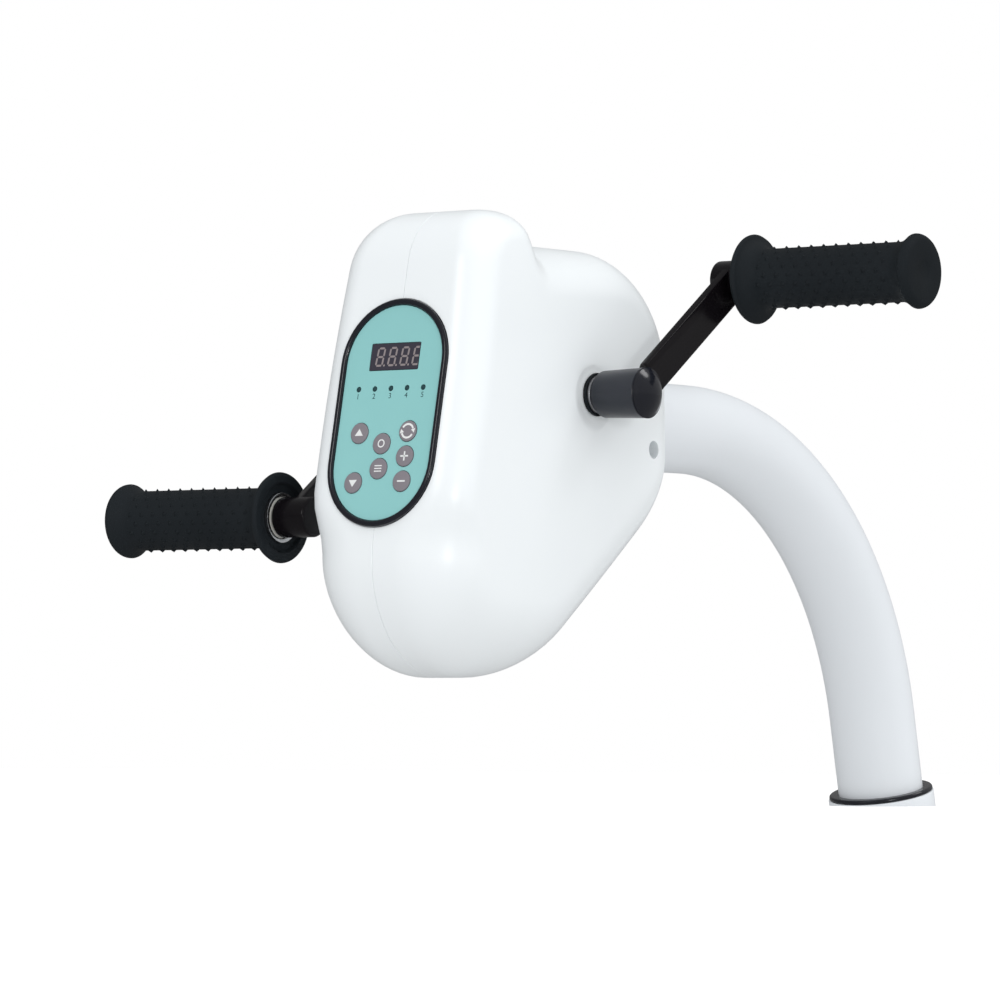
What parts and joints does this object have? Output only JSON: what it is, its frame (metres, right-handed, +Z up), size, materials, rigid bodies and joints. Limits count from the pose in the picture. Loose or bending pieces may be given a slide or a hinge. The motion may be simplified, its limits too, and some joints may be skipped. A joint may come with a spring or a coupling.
{
  "type": "electric pedal exerciser",
  "caption": "Motorised hand crank head with a sloping control panel and two offset grips, carried on a bent steel gooseneck above the rim of its column.",
  "frame": {"origin": "centre of the level cut at the foot of the outer column, which is where the picture ends", "axes": "+Z up, -Y towards the user in front of the control panel, +X along the crank axle to the panel's right-hand side"},
  "size_m": [0.406, 0.5411, 0.3284],
  "materials": {
    "white_shell": "glossy white moulded plastic",
    "white_paint": "glossy white powder coat",
    "black_rubber": "matt moulded rubber",
    "black_paint": "semi-gloss black paint",
    "black_plastic": "satin black moulding",
    "teal_film": "fine matt printed film",
    "smoked_lens": "smoked glossy window",
    "grey_key": "satin grey key cap",
    "green_board": "green solder mask",
    "bright_steel": "bright zinc plated steel",
    "bearing_steel": "ground bearing steel",
    "motor_steel": "plated motor can",
    "cast_alloy": "as-cast aluminium alloy",
    "nylon": "natural nylon"
  },
  "bodies": {
    "column": {"column_collar": "white_paint", "column_bush": "black_plastic"},
    "head": {"gooseneck_tube": "white_paint", "neck_bolt_right": "bright_steel", "neck_bolt_left": "bright_steel", "chassis_frame": "black_paint", "bearing_right": "bearing_steel", "bearing_left": "bearing_steel", "housing_right": "white_shell", "housing_left": "white_shell", "rear_screw_right": "bright_steel", "rear_screw_left": "bright_steel", "join_screw_1": "bright_steel", "join_screw_2": "bright_steel", "join_screw_3": "bright_steel", "join_screw_4": "bright_steel", "gearbox": "cast_alloy", "drive_motor": "motor_steel", "drive_belt": "black_rubber", "panel_tray": "black_plastic", "control_board": "green_board", "panel_overlay": "teal_film", "display_lens": "smoked_lens", "display_module": "black_plastic", "indicator_1": "smoked_lens", "indicator_2": "smoked_lens", "indicator_3": "smoked_lens", "indicator_4": "smoked_lens", "indicator_5": "smoked_lens"},
    "crank": {"crank_axle": "bright_steel", "crank_pulley": "cast_alloy", "crank_arm_right": "black_paint", "crank_arm_left": "black_paint", "hub_cap_right": "black_plastic", "hub_cap_left": "black_plastic", "crank_bolt_right": "bright_steel", "crank_bolt_left": "bright_steel", "hub_seal_right": "black_rubber", "hub_seal_left": "black_rubber", "grip_spindle_right": "bright_steel", "grip_spindle_left": "bright_steel", "spindle_nut_right": "bright_steel", "spindle_nut_left": "bright_steel"},
    "right_grip": {"grip_right": "black_rubber", "grip_sleeve_right": "bright_steel", "grip_bush_inner_right": "nylon", "grip_bush_outer_right": "nylon"},
    "left_grip": {"grip_left": "black_rubber", "grip_sleeve_left": "bright_steel", "grip_bush_inner_left": "nylon", "grip_bush_outer_left": "nylon"},
    "drive": {"drive_pulley": "cast_alloy", "output_shaft": "bright_steel"},
    "up_key": {"key_up": "grey_key"},
    "mode_key": {"key_mode": "grey_key"},
    "time_key": {"key_time": "grey_key"},
    "down_key": {"key_down": "grey_key"},
    "direction_key": {"key_direction": "grey_key"},
    "plus_key": {"key_plus": "grey_key"},
    "minus_key": {"key_minus": "grey_key"}
  },
  "joints": [
    {"name": "column_height", "type": "slide", "parent": "column", "child": "head", "axis": [0, -0.2079, 0.9781], "range_m": [-0.04, 0]},
    {"name": "crank_spin", "type": "hinge", "parent": "head", "child": "crank", "pos_m": [0, -0.37276, 0.22995], "axis": [1, 0, 0], "continuous": true},
    {"name": "right_grip_spin", "type": "hinge", "parent": "crank", "child": "right_grip", "pos_m": [0, -0.27692, 0.29705], "axis": [1, 0, 0], "continuous": true},
    {"name": "left_grip_spin", "type": "hinge", "parent": "crank", "child": "left_grip", "pos_m": [0, -0.4686, 0.16284], "axis": [1, 0, 0], "continuous": true},
    {"name": "drive_pulley_spin", "type": "hinge", "parent": "head", "child": "drive", "pos_m": [0, -0.39776, 0.14494], "axis": [1, 0, 0], "continuous": true},
    {"name": "up_key_press", "type": "slide", "parent": "head", "child": "up_key", "axis": [0, 0.9775, -0.2111], "range_m": [0, 0.0005], "stiffness_N_per_m": 1500},
    {"name": "mode_key_press", "type": "slide", "parent": "head", "child": "mode_key", "axis": [0, 0.9775, -0.2111], "range_m": [0, 0.0005], "stiffness_N_per_m": 1500},
    {"name": "time_key_press", "type": "slide", "parent": "head", "child": "time_key", "axis": [0, 0.9775, -0.2111], "range_m": [0, 0.0005], "stiffness_N_per_m": 1500},
    {"name": "down_key_press", "type": "slide", "parent": "head", "child": "down_key", "axis": [0, 0.9775, -0.2111], "range_m": [0, 0.0005], "stiffness_N_per_m": 1500},
    {"name": "direction_key_press", "type": "slide", "parent": "head", "child": "direction_key", "axis": [0, 0.9775, -0.2111], "range_m": [0, 0.0005], "stiffness_N_per_m": 1500},
    {"name": "plus_key_press", "type": "slide", "parent": "head", "child": "plus_key", "axis": [0, 0.9775, -0.2111], "range_m": [0, 0.0005], "stiffness_N_per_m": 1500},
    {"name": "minus_key_press", "type": "slide", "parent": "head", "child": "minus_key", "axis": [0, 0.9775, -0.2111], "range_m": [0, 0.0005], "stiffness_N_per_m": 1500}
  ],
  "couplings": [
    {"joint": "drive_pulley_spin", "follows": "crank_spin", "ratio": 3.4286}
  ]
}
